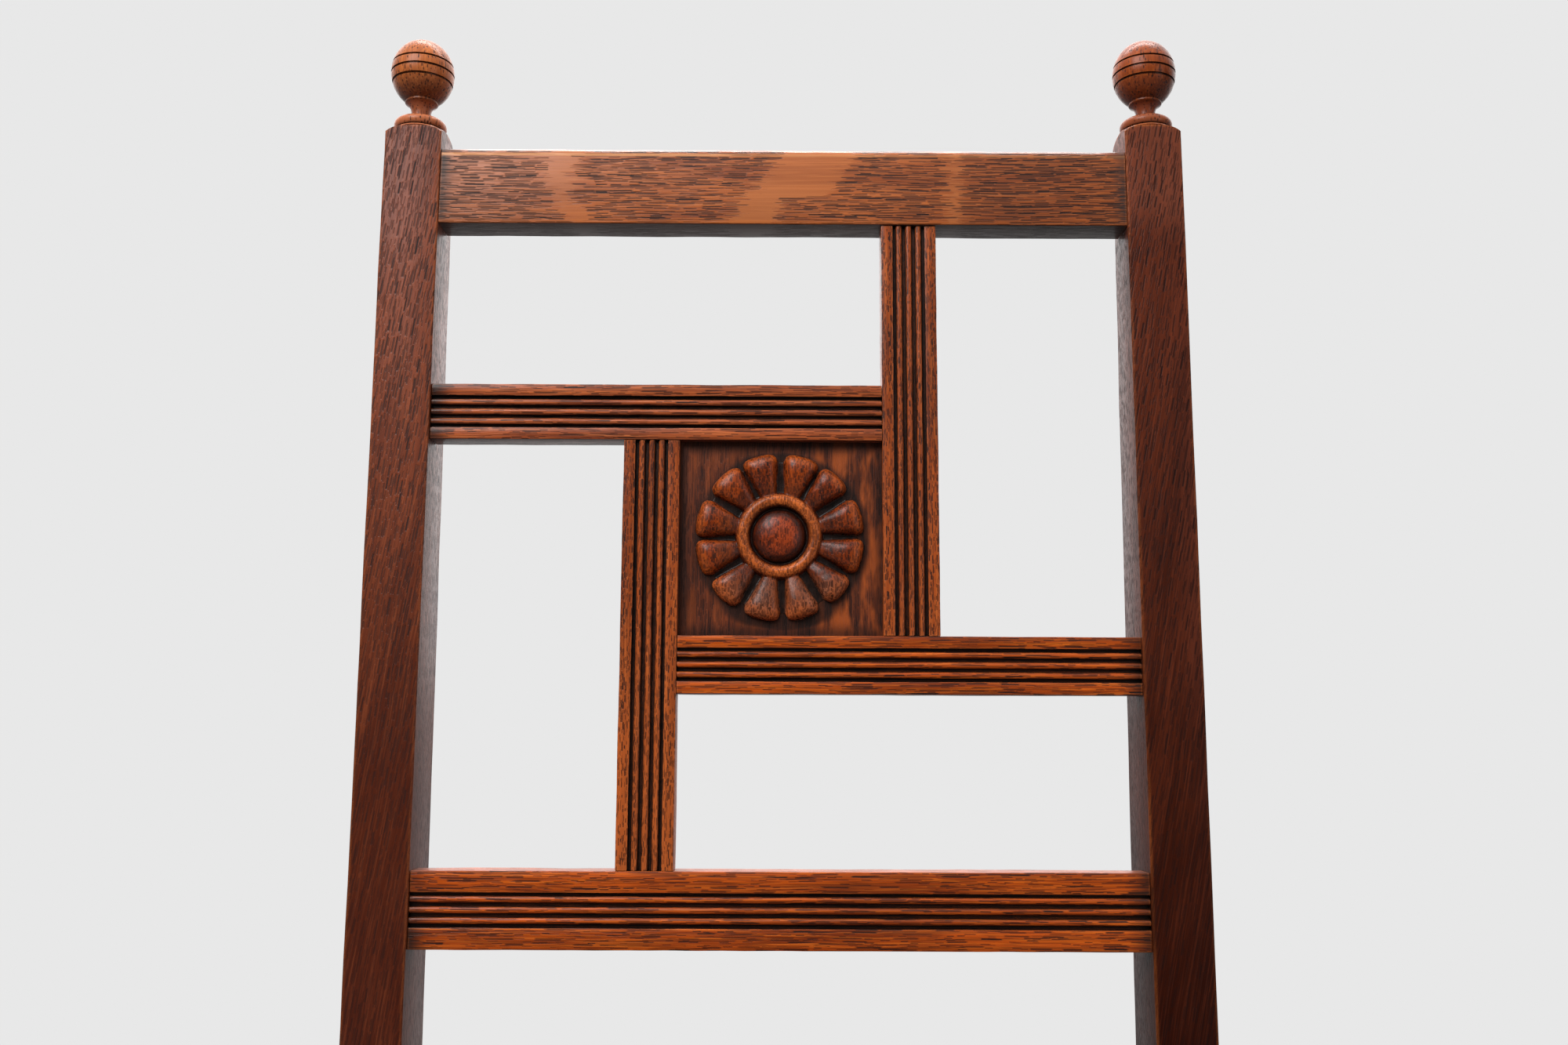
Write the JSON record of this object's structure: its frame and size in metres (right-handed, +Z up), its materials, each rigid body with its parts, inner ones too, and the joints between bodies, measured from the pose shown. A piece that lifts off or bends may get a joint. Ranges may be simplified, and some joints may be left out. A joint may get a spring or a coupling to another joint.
{
  "type": "oak side chair",
  "caption": "Oak side chair with raked square posts, turned ball finials, a reeded pinwheel lattice around a carved rosette panel, turned front legs and a drop-in leather seat.",
  "frame": {"origin": "middle of the chair's footprint box, on the floor", "axes": "+Z up, the front of the chair faces -Y, +X to the right as seen from the front"},
  "size_m": [0.48, 0.5096, 1.063],
  "materials": {
    "oak": "stained and waxed, worn at the edges",
    "carved_oak": "stained and waxed, dark in the hollows",
    "ground_oak": "dark and rough",
    "beech": "bare",
    "leather": "dark brown, softly worn",
    "webbing": "woven jute",
    "hessian": "coarse plain weave",
    "horsehair": "curled hair",
    "steel": "dull and aged"
  },
  "bodies": {
    "chair_frame": {"back_post_left": "oak", "back_post_right": "oak", "finial_left": "oak", "finial_right": "oak", "crest_rail": "oak", "bottom_back_rail": "oak", "upper_reeded_rail": "oak", "lower_reeded_rail": "oak", "upper_reeded_stile": "oak", "lower_reeded_stile": "oak", "carved_panel": "ground_oak", "rosette": "carved_oak", "front_leg_left": "oak", "front_leg_right": "oak", "front_seat_rail": "oak", "back_seat_rail": "oak", "side_seat_rail_left": "oak", "side_seat_rail_right": "oak", "side_stretcher_left": "oak", "side_stretcher_right": "oak", "middle_stretcher": "oak", "back_stretcher": "oak", "corner_brace_front_left": "beech", "corner_brace_front_right": "beech", "corner_brace_back_left": "beech", "corner_brace_back_right": "beech", "brace_screw_1": "steel", "brace_screw_2": "steel", "brace_screw_3": "steel", "brace_screw_4": "steel", "brace_screw_5": "steel", "brace_screw_6": "steel", "brace_screw_7": "steel", "brace_screw_8": "steel"},
    "drop_in_seat": {"seat_frame_front": "beech", "seat_frame_back": "beech", "seat_frame_left": "beech", "seat_frame_right": "beech", "webbing_long_1": "webbing", "webbing_long_2": "webbing", "webbing_long_3": "webbing", "webbing_cross_1": "webbing", "webbing_cross_2": "webbing", "webbing_cross_3": "webbing", "hessian_sheet": "hessian", "seat_stuffing": "horsehair", "leather_cover": "leather"}
  },
  "joints": [
    {"name": "seat_lift", "type": "slide", "parent": "chair_frame", "child": "drop_in_seat", "axis": [0, 0, 1], "range_m": [0, 0.12]}
  ]
}
